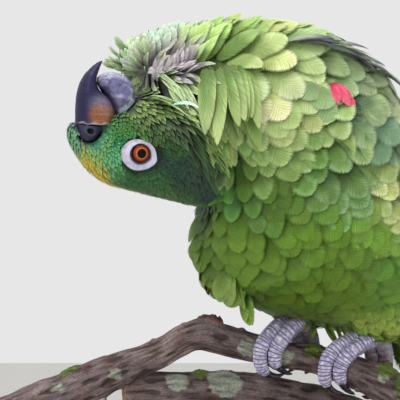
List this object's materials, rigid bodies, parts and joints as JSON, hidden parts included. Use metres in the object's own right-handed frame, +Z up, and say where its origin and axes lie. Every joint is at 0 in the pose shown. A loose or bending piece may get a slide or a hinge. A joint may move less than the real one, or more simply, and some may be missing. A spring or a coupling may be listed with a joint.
{
  "type": "yellow-crowned amazon parrot model",
  "caption": "Still, life-size model of a green amazon parrot gripping a cut branch, its neck fluffed and its head turned upside down, on a plain display stand.",
  "frame": {"origin": "middle of the underside of the stand's base", "axes": "+Z up; +X along the perch; the bird's bill points towards -X and its breast towards -X and -Y"},
  "size_m": [0.271, 0.1845, 0.2535],
  "materials": {
    "body_plumage": "soft feathers, lime green with pale fringes",
    "face_plumage": "short soft feathers, deep green with a yellow forehead",
    "wing_plumage": "firm feathers, grey green with a red bend",
    "bill_horn": "satin horn, slate with an orange patch at its base",
    "bill_horn_pale": "satin horn, lilac grey",
    "cere_skin": "bare matt skin, purple black",
    "eye_gloss": "wet gloss, orange iris round a black pupil",
    "foot_scale": "dry scaly skin, lilac grey",
    "claw_horn": "satin black horn",
    "bark": "rough bark with lichen and moss",
    "rod_steel": "brushed",
    "base_wood": "oiled dark hardwood"
  },
  "bodies": {
    "root": {"bill_lower": "bill_horn_pale", "bill_upper": "bill_horn", "cere": "cere_skin", "claw_left_front_inner": "claw_horn", "claw_left_front_outer": "claw_horn", "claw_left_hind_inner": "claw_horn", "claw_left_hind_outer": "claw_horn", "claw_right_front_inner": "claw_horn", "claw_right_front_outer": "claw_horn", "claw_right_hind_inner": "claw_horn", "claw_right_hind_outer": "claw_horn", "eye_left": "eye_gloss", "eye_right": "eye_gloss", "head": "face_plumage", "neck": "body_plumage", "perch_branch": "bark", "perch_fork": "bark", "shank_left": "foot_scale", "shank_right": "foot_scale", "stand_base": "base_wood", "stand_rod_left": "rod_steel", "stand_rod_right": "rod_steel", "tail": "wing_plumage", "thigh_left": "body_plumage", "thigh_right": "body_plumage", "toe_left_front_inner": "foot_scale", "toe_left_front_outer": "foot_scale", "toe_left_hind_inner": "foot_scale", "toe_left_hind_outer": "foot_scale", "toe_right_front_inner": "foot_scale", "toe_right_front_outer": "foot_scale", "toe_right_hind_inner": "foot_scale", "toe_right_hind_outer": "foot_scale", "trunk": "body_plumage", "wing_left": "wing_plumage", "wing_right": "wing_plumage"}
  },
  "joints": []
}
